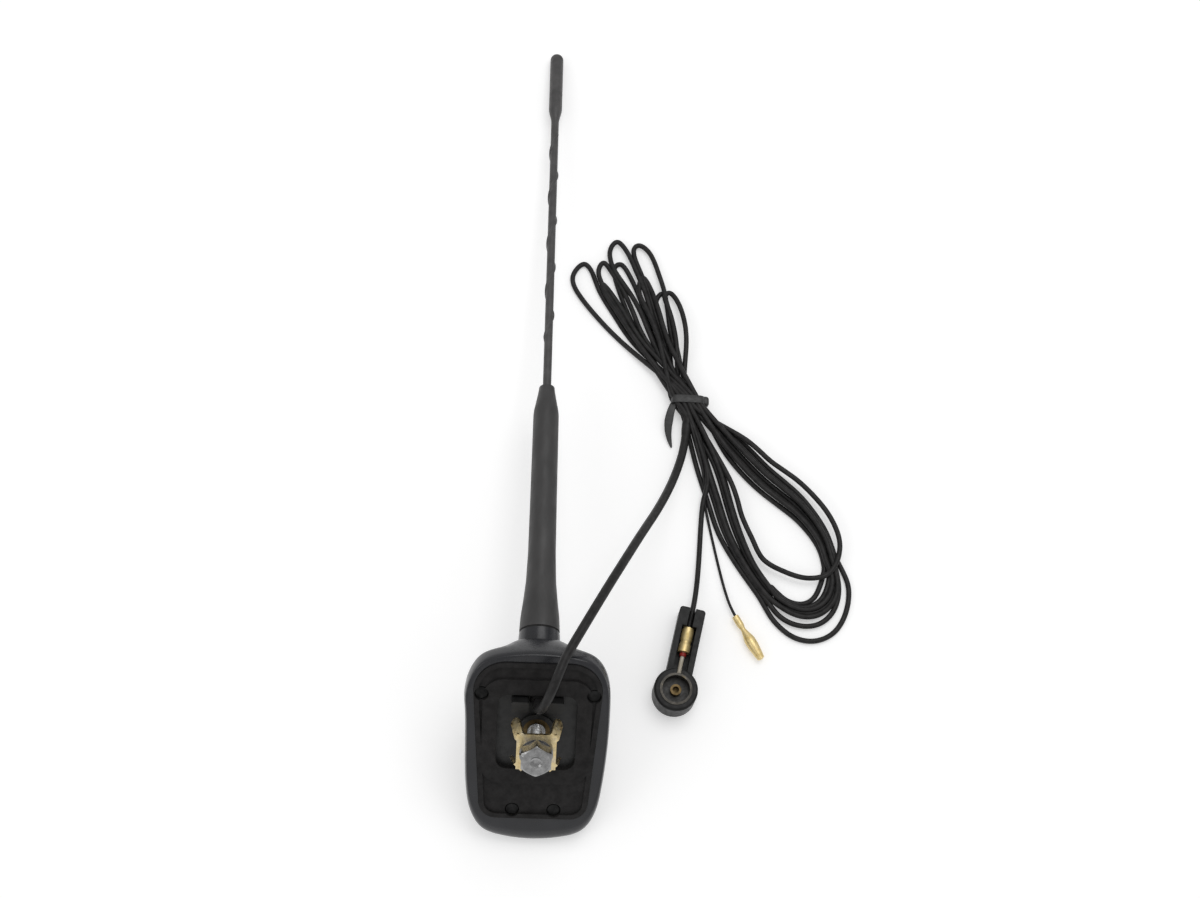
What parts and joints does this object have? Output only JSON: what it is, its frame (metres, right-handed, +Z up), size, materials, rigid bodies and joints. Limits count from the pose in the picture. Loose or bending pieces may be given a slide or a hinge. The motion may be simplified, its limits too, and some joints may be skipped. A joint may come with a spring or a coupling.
{
  "type": "car antenna",
  "caption": "Screw-on car roof antenna with a helical whip, a sealed amplifier foot, a claw clamp bolt, and a tied cable with aerial plug and power terminal.",
  "frame": {"origin": "centre of the antenna's box at the surface it lies on, measured without the cable and its plugs", "axes": "+Z up from that surface; +Y along the mast from foot to tip as it lies; +X to the cable's side"},
  "size_m": [0.1855, 0.4276, 0.0835],
  "materials": {
    "cover_plastic": "moulded black plastic, fine grain",
    "seal_rubber": "black rubber",
    "plate_plastic": "black glass-filled plastic",
    "insert_brass": "machined brass",
    "bolt_zinc": "bright zinc plate",
    "claw_zinc": "yellow zinc plate",
    "screw_steel": "dark zinc plate",
    "board_laminate": "green solder mask",
    "can_tin": "tin plate",
    "coil_copper": "enamelled copper",
    "spring_bronze": "spring bronze",
    "socket_nickel": "nickel plate on brass",
    "sleeve_rubber": "matt black moulded rubber",
    "whip_skin": "shrunk plastic skin over a wound rod",
    "cable_jacket": "black soft plastic jacket",
    "tie_plastic": "black plastic",
    "plug_plastic": "black moulded plastic",
    "plug_nickel": "nickel plate",
    "insulator_plastic": "natural plastic",
    "contact_brass": "brass"
  },
  "bodies": {
    "base": {"base_cover": "cover_plastic", "seal_gasket": "seal_rubber", "cable_grommet": "seal_rubber", "base_plate": "plate_plastic", "threaded_insert": "insert_brass", "base_screws": "screw_steel", "board_screws": "screw_steel", "amplifier_board": "board_laminate", "screening_can": "can_tin", "choke_coil": "coil_copper", "contact_spring": "spring_bronze", "mast_socket": "socket_nickel", "feed_cable": "cable_jacket", "coax_tail": "cable_jacket", "power_tail": "cable_jacket", "cable_hank": "cable_jacket", "inner_lead": "cable_jacket", "cable_tie": "tie_plastic", "plug_housing": "plug_plastic", "plug_ring": "plug_nickel", "plug_insulator": "insulator_plastic", "coax_core": "insulator_plastic", "plug_contact": "contact_brass", "crimp_ferrule": "contact_brass", "power_terminal": "contact_brass"},
    "mast_seal": {"mast_seal_ring": "seal_rubber"},
    "mast": {"mast_whip": "whip_skin", "mast_sleeve": "sleeve_rubber", "mast_stud": "socket_nickel"},
    "claw": {"claw_clamp": "claw_zinc", "lock_washer": "bolt_zinc"},
    "bolt": {"fixing_bolt": "bolt_zinc"}
  },
  "joints": [
    {"name": "mast_lift", "type": "slide", "parent": "base", "child": "mast_seal", "axis": [0, 0.9933, -0.1159], "range_m": [0, 0.008]},
    {"name": "mast_turn", "type": "hinge", "parent": "mast_seal", "child": "mast", "pos_m": [0, -0.12894, 0.04314], "axis": [0, 0.9933, -0.1159], "range_deg": [0, 3600]},
    {"name": "claw_travel", "type": "slide", "parent": "base", "child": "claw", "axis": [0, 0.6864, -0.7272], "range_m": [-0.0025, 0.0045]},
    {"name": "bolt_turn", "type": "hinge", "parent": "claw", "child": "bolt", "pos_m": [0, -0.17482, 0.04659], "axis": [0, 0.6864, -0.7272], "range_deg": [-720, 1296]}
  ],
  "couplings": [
    {"joint": "mast_turn", "follows": "mast_lift", "rad_per_m": 7854},
    {"joint": "bolt_turn", "follows": "claw_travel", "rad_per_m": 5026.5}
  ]
}
